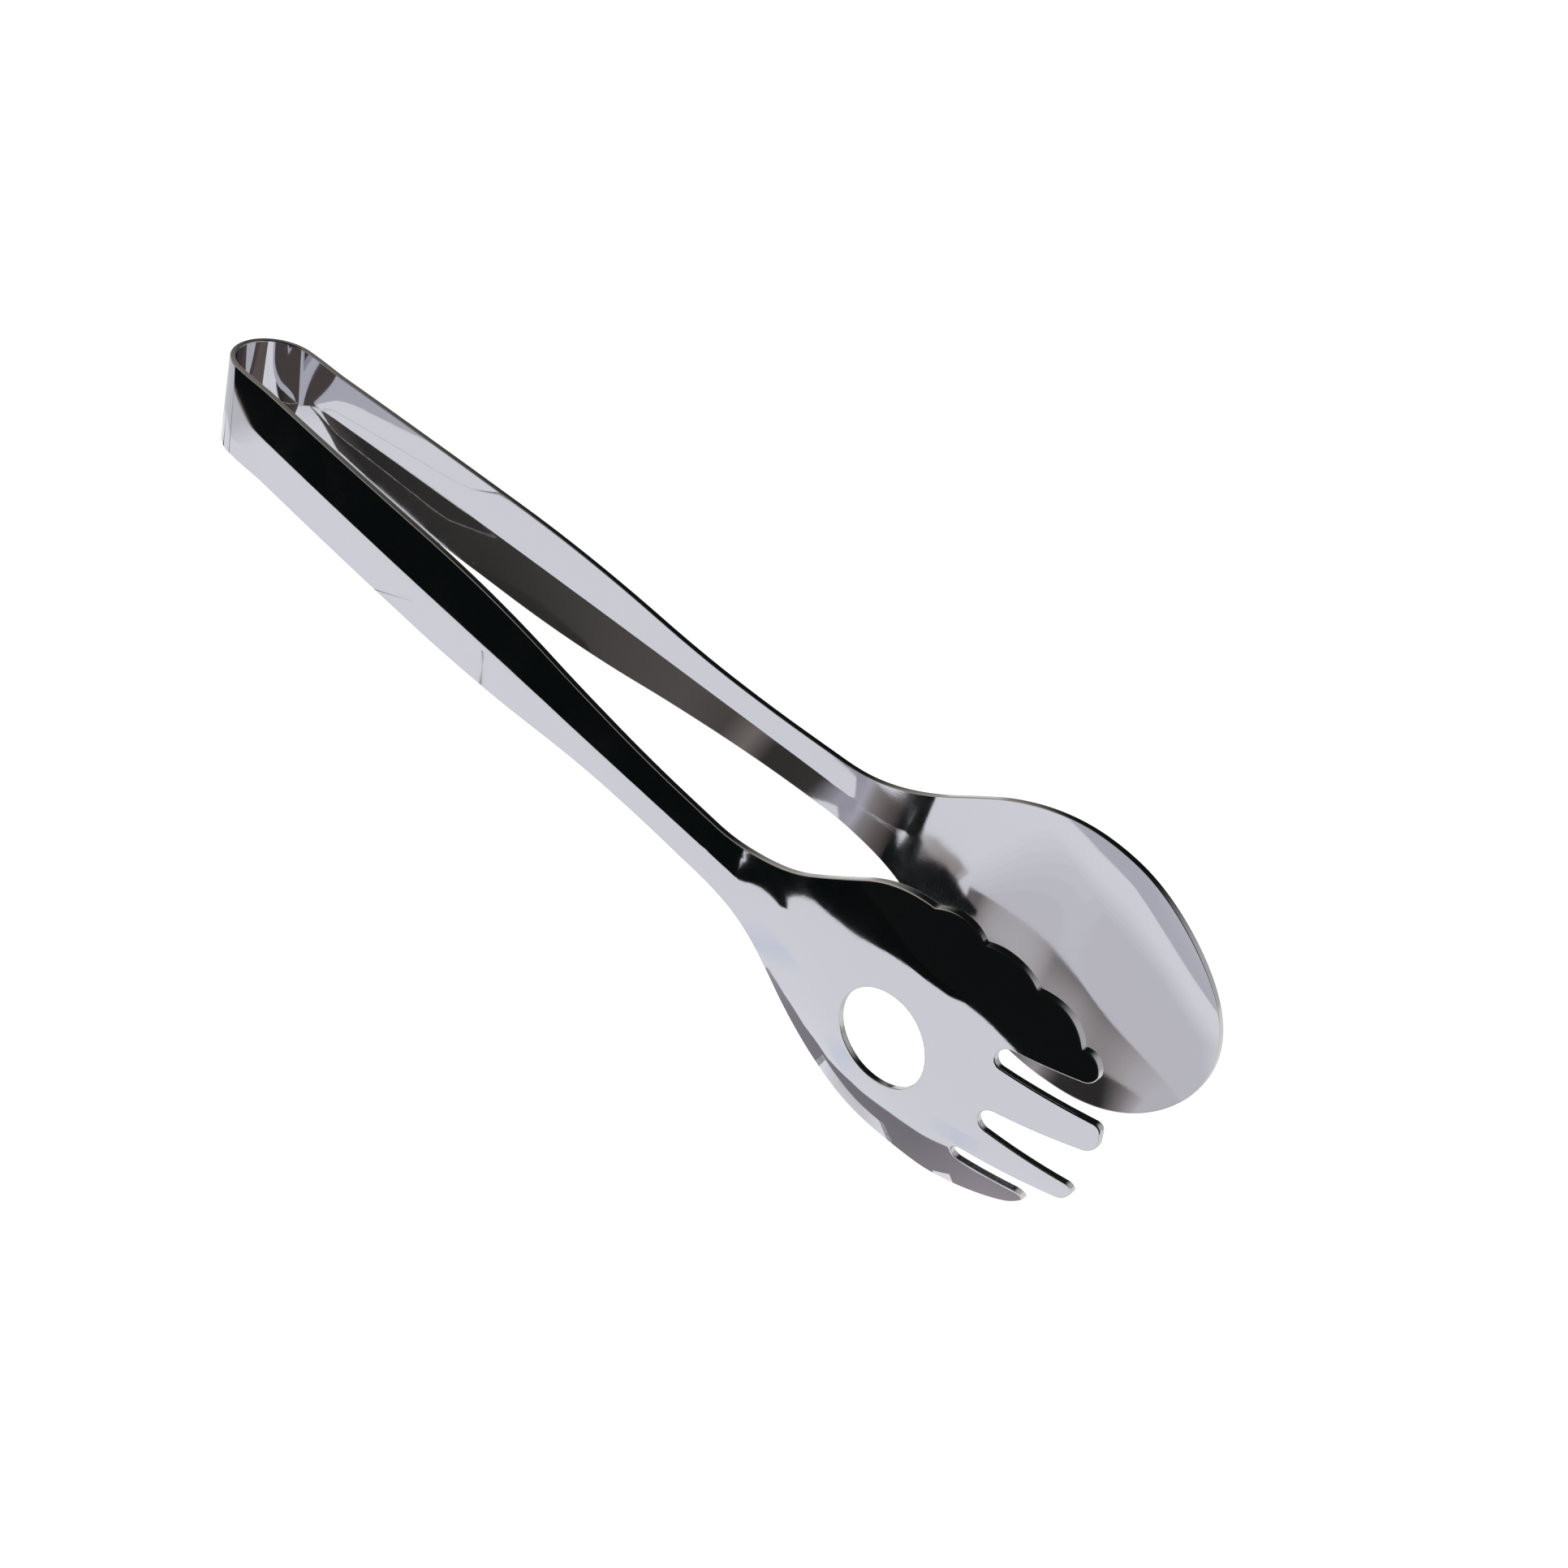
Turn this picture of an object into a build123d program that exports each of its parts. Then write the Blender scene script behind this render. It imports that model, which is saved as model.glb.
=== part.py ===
"""Sprung serving tongs: a fork and a spoon pressed from one folded strip of steel sheet.

Frame: X runs from the bow to the tips, Y across the mouth (fork at -Y, spoon at +Y)
and Z across the strip.  The origin is the centre of the bow's arc.  Millimetres.
"""
from build123d import *
import os
from math import atan, cos, hypot, radians, sin

os.makedirs("parts", exist_ok=True)

# ---------------------------------------------------------------- driving dimensions
overall_length = 246.1      # back of the bow to the spoon's tip
sheet = 1.2                 # thickness of the strip
bow_radius = 9.2            # outside of the bow
bow_lean = 1.6              # the bow's lower edge reaches this much further back
strip_width = 20.8          # bow and grip
neck_width = 11.8           # narrowest place, just before the heads
spoon_width = 52.0
fork_width = 49.6
hole_diameter = 17.6        # round drain hole in the fork's palm

# Places along X, as shares of the reach from the bow's centre to the tips
reach = overall_length - bow_radius - bow_lean
taper_start = 0.276 * reach     # the grip starts to narrow
neck_start = 0.604 * reach      # the grip has become the neck
head_start = 0.6375 * reach     # where arm and head meet
hole_x = 0.837 * reach

# Pressed shape: heights are Y of the outer face on the centre line
arm_slope = 0.085           # the arms leave the bow at this slope
neck_height = 18.1
neck_slope = 0.045
crease_run = 12.8           # the arm's crease appears within this length
crease_root = 0.05          # slope of the flanges beside the bow
crease_gain = 0.11 / 100    # slope added per millimetre along the arm
crease_fade = (0.467 * reach, 0.731 * reach)    # the crease dies out between these

# Outline of both heads: neck arc, straight flare at this angle, cheek arc
flare_angle = 35.4
neck_arc = 38.5
spoon_cheek_arc = 41.4
fork_cheek_arc = 30.0

# Fork: four tines, three slots that widen towards the mouth, scallops along its top edge
slot_root_x = (0.9115 * reach, 0.9205 * reach)      # outer slots, middle slot
outer_slot_z = [share * fork_width / 2 for share in (0.3915, 0.531)]   # its walls at the root
outer_slot_taper = (-0.048, 0.055)                  # their change in Z per millimetre of X
middle_slot_width = 0.0927 * fork_width
middle_slot_taper = 0.13
inner_tine_corner = 0.0383 * fork_width             # rounding of the tines' ends
outer_tine_corner = 0.0343 * fork_width
tine_reach = 0.997 * reach  # end of the inner tines, if they met on the centre line
outer_tine_tip = (0.972 * reach, 0.55 * fork_width / 2)     # its edges meet here before rounding
cusp_x = [share * reach for share in (0.825, 0.866, 0.911, 0.953)]
cusp_z = [share * fork_width / 2 for share in (0.963, 0.972, 0.911, 0.722)]
scallop_bulge = 1.3         # each lobe stands out this far from its chord
lower_edge_z = [share * fork_width / 2 for share in (0.97, 0.835)]     # opposite the last two cusps
lower_edge_end = (1, -1.1)  # direction in which the lower edge reaches its tine


class Head:
    """Heights that a press tool gives one arm, from the bow's end to the tip."""

    def __init__(self, side, neck_x, palm_x, palm_height, tip_height, tip_slope, dish, tip_dish):
        self.side = side                # +1 or -1, the side of Y
        self.neck_x = neck_x
        self.palm_x = palm_x
        self.palm_height = palm_height
        self.tip_height = tip_height
        self.tip_slope = tip_slope
        self.dish = dish                # drop per square millimetre off the centre line
        self.tip_dish = tip_dish        # what the dish gains towards the tip

    def crown(self, x):
        """Height of the outer face on the centre line."""
        if x < self.neck_x:
            return blend(x, seam_x, seam_height, arm_slope, self.neck_x, neck_height, neck_slope)
        if x < self.palm_x:
            return blend(x, self.neck_x, neck_height, neck_slope, self.palm_x, self.palm_height, 0)
        return blend(x, self.palm_x, self.palm_height, 0, reach, self.tip_height, self.tip_slope)

    def height(self, x, z):
        """Height of the outer face at any place."""
        crease = ease(x, seam_x, seam_x + crease_run) * (crease_root + crease_gain * min(x, 120))
        crease *= 1 - ease(x, *crease_fade)
        dish = self.dish * ease(x, 0.63 * reach, 0.79 * reach)
        dish += self.tip_dish * ease(x, 0.884 * reach, 1.02 * reach)
        return self.crown(x) - crease * abs(z) - dish * z**2

    def depth(self, x, z):
        """Distance along Y through the sheet, which is thicker where the sheet leans."""
        step = 0.5
        along = (self.height(x + step, z) - self.height(x - step, z)) / (2 * step)
        across = (self.height(x, z + step) - self.height(x, z - step)) / (2 * step)
        return sheet * hypot(1, along, across if z else 0)


def ease(x, start, end):
    """Smooth step from 0 at start to 1 at end."""
    share = min(max((x - start) / (end - start), 0), 1)
    return share**2 * (3 - 2 * share)


def blend(x, x0, y0, slope0, x1, y1, slope1):
    """Cubic from (x0, y0) to (x1, y1) with the given slopes at its ends."""
    span = x1 - x0
    share = (x - x0) / span
    rise = share**2 * (3 - 2 * share)
    return (
        y0 * (1 - rise) + y1 * rise
        + span * slope0 * share * (1 - share) ** 2
        - span * slope1 * share**2 * (1 - share)
    )


# The bow ends where its arc has turned to the arms' slope
seam_x = -bow_radius * sin(atan(arm_slope))
seam_height = bow_radius * cos(atan(arm_slope))

fork_press = Head(-1, 0.671 * reach, 0.837 * reach, 24.9, 17.5, -0.42, 0.0115, 0.011)
spoon_press = Head(1, 0.654 * reach, 0.85 * reach, 27.2, 19.5, -0.40, 0.0105, 0.004)


def pressed_band(head):
    """Sheet of a whole arm and head, wider than any outline, lofted as two mirrored halves."""
    half = 0.6 * max(spoon_width, fork_width)
    shares = [0.05, 0.12, 0.25, 0.38, 0.47, 0.53, 0.58, 0.625, 0.665, 0.705]
    shares += [0.74, 0.775, 0.815, 0.855, 0.9, 0.94, 0.98, 1.02]
    places = [seam_x, seam_x + 0.4 * crease_run] + [share * reach for share in shares]
    with BuildPart() as band:
        for x in places:
            heights = [head.height(x, z) for z in (0, half / 2, half)]
            depths = [head.depth(x, z) for z in (0, half / 2, half)]
            with BuildSketch(Plane((x, 0, 0), x_dir=(0, head.side, 0), z_dir=(head.side, 0, 0))):
                with BuildLine():
                    outer = half_section(heights, half)
                    inner = half_section([h - d for h, d in zip(heights, depths)], half)
                    Line(outer @ 1, inner @ 1)
                    Line(outer @ 0, inner @ 0)
                make_face()
        loft()
        mirror(about=Plane.XY)
    return band.part


def half_section(heights, half):
    """Curve from the centre line to the edge through three heights."""
    control = 2 * heights[1] - (heights[0] + heights[2]) / 2
    return Bezier((heights[0], 0), (control, half / 2), (heights[2], half))


def arm_outline():
    """Grip and neck, seen along Y: a strip that narrows by two equal arcs."""
    drop = (strip_width - neck_width) / 2
    turn = 2 * atan(drop / (neck_start - taper_start))
    radius = (neck_start - taper_start) / 2 / sin(turn)
    degrees = turn / radians(1)
    with BuildSketch() as outline:
        with BuildLine():
            grip = Line((seam_x, strip_width / 2), (taper_start, strip_width / 2))
            shoulder = JernArc(grip @ 1, (1, 0), radius, -degrees)
            hollow = JernArc(shoulder @ 1, shoulder % 1, radius, degrees)
            neck = Line(hollow @ 1, (head_start, neck_width / 2))
            Line(neck @ 1, (head_start, 0))
            Line((seam_x, 0), grip @ 0)
            mirror(about=Plane.XZ)
        make_face()
    return outline.sketch


def head_flare(width, cheek_arc):
    """Edge of a head from the neck to the end of its straight flare."""
    turn = radians(flare_angle)
    straight = (width - neck_width) / 2 - (neck_arc + cheek_arc) * (1 - cos(turn))
    hollow = JernArc((head_start, neck_width / 2), (1, 0), neck_arc, flare_angle)
    return PolarLine(hollow @ 1, straight / sin(turn), direction=hollow % 1)


def spoon_outline():
    """Round cheeks that close to the tip by quarters of an ellipse."""
    with BuildSketch() as outline:
        with BuildLine():
            flare = head_flare(spoon_width, spoon_cheek_arc)
            cheek = JernArc(flare @ 1, flare % 1, spoon_cheek_arc, -flare_angle)
            middle = (cheek @ 1).X
            EllipticalCenterArc((middle, 0), reach - middle, spoon_width / 2, arc_size=90)
            mirror(about=Plane.XZ)
            Line((head_start, -neck_width / 2), (head_start, neck_width / 2))
        make_face()
    return outline.sketch


def fork_outline():
    """Smooth lower edge, scalloped upper edge, four round-ended tines and the drain hole."""
    middle_walls = (-middle_slot_width / 2, middle_slot_width / 2)
    middle_taper = (-middle_slot_taper, middle_slot_taper)
    slots = [slot(outer_slot_z, outer_slot_taper, slot_root_x[0], upper) for upper in (1, -1)]
    slots.append(slot(middle_walls, middle_taper, slot_root_x[1], 1))
    in_outer_slot = (0.985 * reach, outer_slot_z[0] + 1)     # the slot removes the outline here
    cusps = [Vector(x, z) for x, z in zip(cusp_x, cusp_z)]
    with BuildSketch() as outline:
        with BuildLine():
            flare = head_flare(fork_width, fork_cheek_arc)
            cheek = JernArc(flare @ 1, flare % 1, fork_cheek_arc, -flare_angle)
            Spline(cheek @ 1, (cusps[2].X, lower_edge_z[0]), (cusps[3].X, lower_edge_z[1]),
                   outer_tine_tip, tangents=[(1, 0), lower_edge_end])
            Line(outer_tine_tip, in_outer_slot)
            mirror(about=Plane.XZ, mode=Mode.REPLACE)
        with BuildLine():
            flare = head_flare(fork_width, fork_cheek_arc)
            TangentArc(flare @ 1, cusps[0], tangent=flare % 1)
            for start, end in zip(cusps, cusps[1:]):
                ThreePointArc(start, scallop_top(start, end), end)
            ThreePointArc(cusps[3], scallop_top(cusps[3], Vector(*outer_tine_tip)), outer_tine_tip)
            Line(outer_tine_tip, in_outer_slot)
            ThreePointArc(in_outer_slot, (tine_reach, 0), (in_outer_slot[0], -in_outer_slot[1]))
            Line((head_start, -neck_width / 2), (head_start, neck_width / 2))
        make_face()
        with Locations((hole_x, 0)):
            Circle(hole_diameter / 2, mode=Mode.SUBTRACT)
        add(slots, mode=Mode.SUBTRACT)
        for inner, corner in ((True, inner_tine_corner), (False, outer_tine_corner)):
            ends = [v for v in outline.vertices() if v.X > cusps[3].X + 1]
            fillet([v for v in ends if (abs(v.Y) < outer_slot_z[0]) == inner], corner)
    return outline.sketch


def scallop_top(start, end):
    """Point of a lobe that stands furthest out from the edge between two cusps."""
    chord = end - start
    return (start + end) / 2 + Vector(-chord.Y, chord.X).normalized() * scallop_bulge


def slot(walls, tapers, root_x, upper):
    """Shape of a slot with a round root that widens towards the mouth."""
    radius = (walls[1] - walls[0]) / 2
    length = reach + 5 - root_x - radius
    near = [(root_x + radius, z * upper) for z in walls]
    far = [(reach + 5, (z + taper * length) * upper) for z, taper in zip(walls, tapers)]
    with BuildSketch() as shape:
        with BuildLine():
            Polyline(near[0], far[0], far[1], near[1])
            ThreePointArc(near[1], (root_x, (walls[0] + walls[1]) / 2 * upper), near[0])
        make_face()
    return shape.sketch


def press_piece(band, outline, label):
    """Blank one piece out of a pressed band, through the whole height of Y."""
    with BuildPart() as piece:
        add(band)
        with BuildSketch(Plane((0, 0, 0), x_dir=(1, 0, 0), z_dir=(0, -1, 0))):
            add(outline)
        extrude(amount=2 * spoon_width, both=True, mode=Mode.INTERSECT)
    piece.part.label = label
    export_step(piece.part, f"parts/{label}.step")
    return piece.part


# ---------------------------------------------------------------- spring bow
with BuildPart() as spring_bow:
    for level, lean in ((-strip_width / 2, bow_lean), (strip_width / 2, 0)):
        with BuildSketch(Plane.XY.offset(level)):
            Ellipse(bow_radius + lean, bow_radius)
            Ellipse(bow_radius + lean - sheet, bow_radius - sheet, mode=Mode.SUBTRACT)
            with Locations((seam_x, 0)):
                Rectangle(2 * bow_radius, 3 * bow_radius, align=(Align.MAX, Align.CENTER),
                          mode=Mode.INTERSECT)
    loft(ruled=True)
spring_bow.part.label = "spring_bow"
export_step(spring_bow.part, "parts/spring_bow.step")

# ---------------------------------------------------------------- fork side
fork_band = pressed_band(fork_press)
fork_arm = press_piece(fork_band, arm_outline(), "fork_arm")
fork_head = press_piece(fork_band, fork_outline(), "fork_head")

# ---------------------------------------------------------------- spoon side
spoon_band = pressed_band(spoon_press)
spoon_arm = press_piece(spoon_band, arm_outline(), "spoon_arm")
spoon_bowl = press_piece(spoon_band, spoon_outline(), "spoon_bowl")
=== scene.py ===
"""Looks of a pair of sprung serving tongs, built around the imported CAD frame.

The scene is in metres and the shape code in millimetres.  X runs from the bow to the tips, Y across
the mouth (fork at -Y, spoon at +Y) and Z across the strip.  The origin is the centre of the bow's arc.
"""
import logging
import math
from dataclasses import dataclass, field
from enum import Enum
from typing import Any, Callable, Sequence

import bpy
import numpy as np
from mathutils import Matrix, Vector
from mathutils.geometry import delaunay_2d_cdt


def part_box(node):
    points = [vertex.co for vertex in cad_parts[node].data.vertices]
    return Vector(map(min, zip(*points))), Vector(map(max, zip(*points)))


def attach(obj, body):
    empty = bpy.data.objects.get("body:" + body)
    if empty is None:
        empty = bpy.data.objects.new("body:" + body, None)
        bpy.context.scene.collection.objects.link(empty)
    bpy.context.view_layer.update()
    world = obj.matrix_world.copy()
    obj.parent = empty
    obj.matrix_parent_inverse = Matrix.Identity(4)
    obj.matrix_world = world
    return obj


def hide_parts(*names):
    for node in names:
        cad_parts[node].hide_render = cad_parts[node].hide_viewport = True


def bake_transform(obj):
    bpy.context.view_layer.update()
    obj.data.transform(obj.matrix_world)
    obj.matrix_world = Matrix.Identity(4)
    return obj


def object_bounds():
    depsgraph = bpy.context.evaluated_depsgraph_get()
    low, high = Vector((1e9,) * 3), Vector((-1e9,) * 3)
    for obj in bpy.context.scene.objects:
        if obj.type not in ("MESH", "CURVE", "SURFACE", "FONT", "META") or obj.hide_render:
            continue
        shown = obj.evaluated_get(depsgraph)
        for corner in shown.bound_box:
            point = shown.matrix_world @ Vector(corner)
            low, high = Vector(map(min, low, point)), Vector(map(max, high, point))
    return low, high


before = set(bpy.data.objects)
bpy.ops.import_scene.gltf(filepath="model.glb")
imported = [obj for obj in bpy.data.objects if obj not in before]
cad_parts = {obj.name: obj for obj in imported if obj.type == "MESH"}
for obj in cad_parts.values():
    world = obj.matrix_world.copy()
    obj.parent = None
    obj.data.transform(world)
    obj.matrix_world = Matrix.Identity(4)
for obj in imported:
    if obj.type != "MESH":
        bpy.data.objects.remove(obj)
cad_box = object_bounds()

MM = 0.001                  # metres in a millimetre
ARC_ERROR = 0.004           # most that a chord may leave its arc, in millimetres
log = logging.getLogger("tongs")

Finishes = Sequence[bpy.types.Material]         # materials of the faces and of the cut edges
Runs = list[np.ndarray]
Point = Sequence[float]
Stop = tuple[float, str]                        # place in millimetres and the colour there


class Side(Enum):
    """The two arms, by the sign of their Y."""

    FORK = -1
    SPOON = 1


class Slot(Enum):
    """Material slots of every piece."""

    FACE = 0
    EDGE = 1


# ---------------------------------------------------------------- sizes
@dataclass(frozen=True)
class Strip:
    """Sizes of the steel strip and its bow, shared by both sides, in millimetres."""

    reach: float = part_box("spoon_bowl")[1].x / MM
    head_start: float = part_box("fork_head")[0].x / MM
    width: float = 2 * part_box("spring_bow")[1].z / MM
    neck_width: float = 11.8
    sheet: float = 1.2
    bow_radius: float = 9.2
    bow_lean: float = 1.6
    arm_slope: float = 0.085
    rim: float = 0.22           # rounding that tumbling leaves on every cut edge

    @property
    def seam_x(self) -> float:
        """Where the bow's arc has turned to the arms' slope."""
        return -self.bow_radius * math.sin(math.atan(self.arm_slope))

    @property
    def seam_height(self) -> float:
        """Distance of the outer face from the middle plane at the seam."""
        return self.bow_radius * math.cos(math.atan(self.arm_slope))


STRIP = Strip()


# ---------------------------------------------------------------- plan curves
def ease(x: Any, start: float, end: float) -> Any:
    """Smooth step from 0 at start to 1 at end."""
    share = np.clip((x - start) / (end - start), 0, 1)
    return share**2 * (3 - 2 * share)


def hermite(x: Any, x0: float, y0: float, slope0: float, x1: float, y1: float, slope1: float) -> Any:
    """Cubic from (x0, y0) to (x1, y1) with the given slopes at its ends."""
    span = x1 - x0
    share = (x - x0) / span
    rise = share**2 * (3 - 2 * share)
    turn = slope0 * share * (1 - share) ** 2 - slope1 * share**2 * (1 - share)
    return y0 * (1 - rise) + y1 * rise + span * turn


def heading(run: np.ndarray) -> float:
    """Angle of a plan vector."""
    return math.atan2(run[1], run[0])


def bend(start: Sequence[float], angle: float, radius: float, turn: float) -> np.ndarray:
    """Arc that leaves a point at an angle.

    Args:
        start: Point (x, z) where the arc begins.
        angle: Its direction there, in radians.
        radius: Its radius.
        turn: Angle that it turns through, positive to the left.

    Returns:
        Points along the arc, both ends included.
    """
    side = math.copysign(1, turn)
    centre = np.asarray(start) + side * radius * np.array([-math.sin(angle), math.cos(angle)])
    steps = max(3, math.ceil(abs(turn) / (2 * math.acos(1 - ARC_ERROR / max(radius, 0.5)))))
    angles = angle - side * math.pi / 2 + turn * np.linspace(0, 1, steps + 1)
    return centre + radius * np.column_stack([np.cos(angles), np.sin(angles)])


def bulge_arc(start: np.ndarray, end: np.ndarray, bulge: float) -> np.ndarray:
    """Arc between two points that stands out to the left of its chord by bulge."""
    chord = end - start
    length = float(np.hypot(*chord))
    turn = 4 * math.atan(2 * bulge / length)
    radius = (length**2 / 4 + bulge**2) / (2 * bulge)
    return bend(start, heading(chord) + turn / 2, radius, -turn)


def tangent_arc(start: np.ndarray, angle: float, end: np.ndarray) -> np.ndarray:
    """Arc that leaves start at an angle and ends at a point."""
    chord = end - start
    half = heading(chord) - angle
    return bend(start, angle, float(np.hypot(*chord)) / (2 * math.sin(abs(half))), 2 * half)


def straight(start: Sequence[float], end: Sequence[float], step: float = 1.0) -> np.ndarray:
    """Points along a straight run, about a step apart."""
    start, end = np.asarray(start, float), np.asarray(end, float)
    count = max(1, math.ceil(float(np.hypot(*(end - start))) / step))
    return start + (end - start) * np.linspace(0, 1, count + 1)[:, None]


def clamped_spline(knots: np.ndarray, first: np.ndarray, last: np.ndarray, step: float) -> np.ndarray:
    """Smooth curve through a few points with given directions at its ends.

    Args:
        knots: Points (x, z) to pass through.
        first: Direction at the first one.
        last: Direction at the last one.
        step: Distance between the returned points.

    Returns:
        Points along the curve.
    """
    runs = np.hypot(*np.diff(knots, axis=0).T)
    count = len(knots)
    matrix, right = np.eye(count), np.zeros((count, 2))
    right[0], right[-1] = first / np.hypot(*first), last / np.hypot(*last)
    for i in range(1, count - 1):
        before, after = runs[i - 1], runs[i]
        matrix[i, i - 1 : i + 2] = after, 2 * (before + after), before
        right[i] = 3 * (after * (knots[i] - knots[i - 1]) / before
                        + before * (knots[i + 1] - knots[i]) / after)
    slopes = np.linalg.solve(matrix, right)
    pieces = []
    for i, run in enumerate(runs):
        along = np.linspace(0, run, math.ceil(run / step) + 1)[:, None]
        pieces.append(hermite(along, 0, knots[i], slopes[i], run, knots[i + 1], slopes[i + 1]))
    return chain(*pieces)


def chain(*pieces: np.ndarray) -> np.ndarray:
    """Curves joined end to end, without their doubled points."""
    points = np.concatenate(pieces)
    apart = np.hypot(*np.diff(points, axis=0).T) > 1e-6
    return points[np.concatenate([[True], apart])]


def cut_by_line(points: np.ndarray, on_line: np.ndarray, run: np.ndarray) -> np.ndarray:
    """The part of a curve before it last crosses a line."""
    away = (points - on_line) @ np.array([-run[1], run[0]])
    crossing = int(np.flatnonzero(away[:-1] * away[1:] <= 0)[-1])
    share = away[crossing] / (away[crossing] - away[crossing + 1])
    end = points[crossing] + share * (points[crossing + 1] - points[crossing])
    return chain(points[: crossing + 1], end[None])


def shortened(points: np.ndarray, length: float) -> np.ndarray:
    """A curve without the last stretch of that length."""
    along = np.concatenate([[0], np.cumsum(np.hypot(*np.diff(points, axis=0).T))])
    stop = along[-1] - length
    end = np.array([np.interp(stop, along, points[:, axis]) for axis in (0, 1)])
    return chain(points[along < stop - 1e-6], end[None])


def rounded_join(before: np.ndarray, after: np.ndarray, radius: float) -> np.ndarray:
    """Two curves that meet at a corner, joined by a rounding.

    Args:
        before: Curve that ends at the corner.
        after: Curve that starts there.
        radius: Radius of the rounding.

    Returns:
        Points of both curves and the rounding.
    """
    turn = heading(after[1] - after[0]) - heading(before[-1] - before[-2])
    turn = abs((turn + math.pi) % (2 * math.pi) - math.pi)
    cut = radius * math.tan(turn / 2)
    before, after = shortened(before, cut), shortened(after[::-1], cut)[::-1]
    leave, arrive = before[-1] - before[-2], after[1] - after[0]
    handle = 4 / 3 * math.tan(turn / 4) * radius
    first = before[-1] + handle * leave / np.hypot(*leave)
    last = after[0] - handle * arrive / np.hypot(*arrive)
    t = np.linspace(0, 1, max(6, math.ceil(radius * turn / 0.25)) + 1)[:, None]
    weights = ((1 - t) ** 3, 3 * t * (1 - t) ** 2, 3 * t**2 * (1 - t), t**3)
    corner = sum(w * p for w, p in zip(weights, (before[-1], first, last, after[0])))
    return chain(before, corner, after)


# ---------------------------------------------------------------- pressed surface
@dataclass(frozen=True)
class Press:
    """Heights that a press tool gives one arm and its head, in millimetres from the middle plane."""

    side: Side
    neck_x: float
    palm_x: float
    palm_height: float
    tip_height: float
    tip_slope: float
    dish: float                 # drop per square millimetre off the centre line
    tip_dish: float             # what the dish gains towards the tip
    neck_height: float = 18.1
    neck_slope: float = 0.045
    crease_run: float = 12.8    # the crease appears within this length of the bow
    crease_root: float = 0.05   # slope of the two flanges beside the bow
    crease_gain: float = 0.0011
    crease_end: tuple[float, float] = (0.467 * STRIP.reach, 0.731 * STRIP.reach)
    crease_full: float = 120.0          # X where the crease stops deepening, in millimetres
    dish_span: tuple[float, float] = (0.63 * STRIP.reach, 0.79 * STRIP.reach)       # where it sets in
    tip_dish_span: tuple[float, float] = (0.884 * STRIP.reach, 1.02 * STRIP.reach)
    ridge_radius: float = 0.3   # the crease's ridge is rounded to about this

    def crown(self, x: np.ndarray) -> np.ndarray:
        """Height of the outer face on the centre line."""
        arm = hermite(x, STRIP.seam_x, STRIP.seam_height, STRIP.arm_slope,
                      self.neck_x, self.neck_height, self.neck_slope)
        rise = hermite(x, self.neck_x, self.neck_height, self.neck_slope, self.palm_x, self.palm_height, 0)
        fall = hermite(x, self.palm_x, self.palm_height, 0, STRIP.reach, self.tip_height, self.tip_slope)
        return np.where(x < self.neck_x, arm, np.where(x < self.palm_x, rise, fall))

    def outer(self, x: np.ndarray, z: np.ndarray) -> np.ndarray:
        """Height of the outer face."""
        crease = ease(x, STRIP.seam_x, STRIP.seam_x + self.crease_run)
        crease = crease * (self.crease_root + self.crease_gain * np.minimum(x, self.crease_full))
        crease = crease * (1 - ease(x, *self.crease_end))
        dish = self.dish * ease(x, *self.dish_span)
        dish = dish + self.tip_dish * ease(x, *self.tip_dish_span)
        return self.crown(x) - crease * np.hypot(z, self.ridge_radius) - dish * z**2

    def inner(self, x: np.ndarray, z: np.ndarray) -> np.ndarray:
        """Height of the inner face, one sheet behind the outer one, square to it."""
        along, across = self.slopes(self.outer, x, z)
        return self.outer(x, z) - STRIP.sheet * np.sqrt(1 + along**2 + across**2)

    @staticmethod
    def slopes(height: Any, x: np.ndarray, z: np.ndarray,
               step: float = 0.02) -> tuple[np.ndarray, np.ndarray]:
        """Slopes of a face along X and Z."""
        along = (height(x + step, z) - height(x - step, z)) / (2 * step)
        across = (height(x, z + step) - height(x, z - step)) / (2 * step)
        return along, across

    def normals(self, height: Any, x: np.ndarray, z: np.ndarray, outwards: int) -> np.ndarray:
        """Unit normals of a face.

        Args:
            height: The face, self.outer or self.inner.
            x: Places along the arm.
            z: Places across it.
            outwards: 1 for the outer face and -1 for the inner one.

        Returns:
            One row per place, in the scene's axes.
        """
        along, across = self.slopes(height, x, z)
        rows = np.column_stack([-along, np.full_like(along, self.side.value), -across])
        return outwards * rows / np.linalg.norm(rows, axis=1)[:, None]


# ---------------------------------------------------------------- blanks
@dataclass
class Blank:
    """Plan outline of a piece before pressing, counter-clockwise with X right and Z up.

    Each rim is an open cut edge.  A straight hidden joint leads from each rim to the next one.
    """

    rims: list[np.ndarray]
    holes: list[np.ndarray] = field(default_factory=list)


@dataclass(frozen=True)
class ArmBlank:
    """Grip and neck: a strip that narrows by two equal arcs."""

    taper_start: float = 0.276 * STRIP.reach
    neck_start: float = 0.604 * STRIP.reach

    def blank(self) -> Blank:
        """Outline of the arm."""
        drop, run = (STRIP.width - STRIP.neck_width) / 2, self.neck_start - self.taper_start
        turn = 2 * math.atan(drop / run)
        radius = run / 2 / math.sin(turn)
        grip = straight((STRIP.seam_x, STRIP.width / 2), (self.taper_start, STRIP.width / 2))
        shoulder = bend(grip[-1], 0, radius, -turn)
        hollow = bend(shoulder[-1], -turn, radius, turn)
        neck = straight(hollow[-1], (STRIP.head_start, STRIP.neck_width / 2))
        upper = chain(grip, shoulder, hollow, neck)
        return Blank([upper * (1, -1), upper[::-1]])


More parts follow.
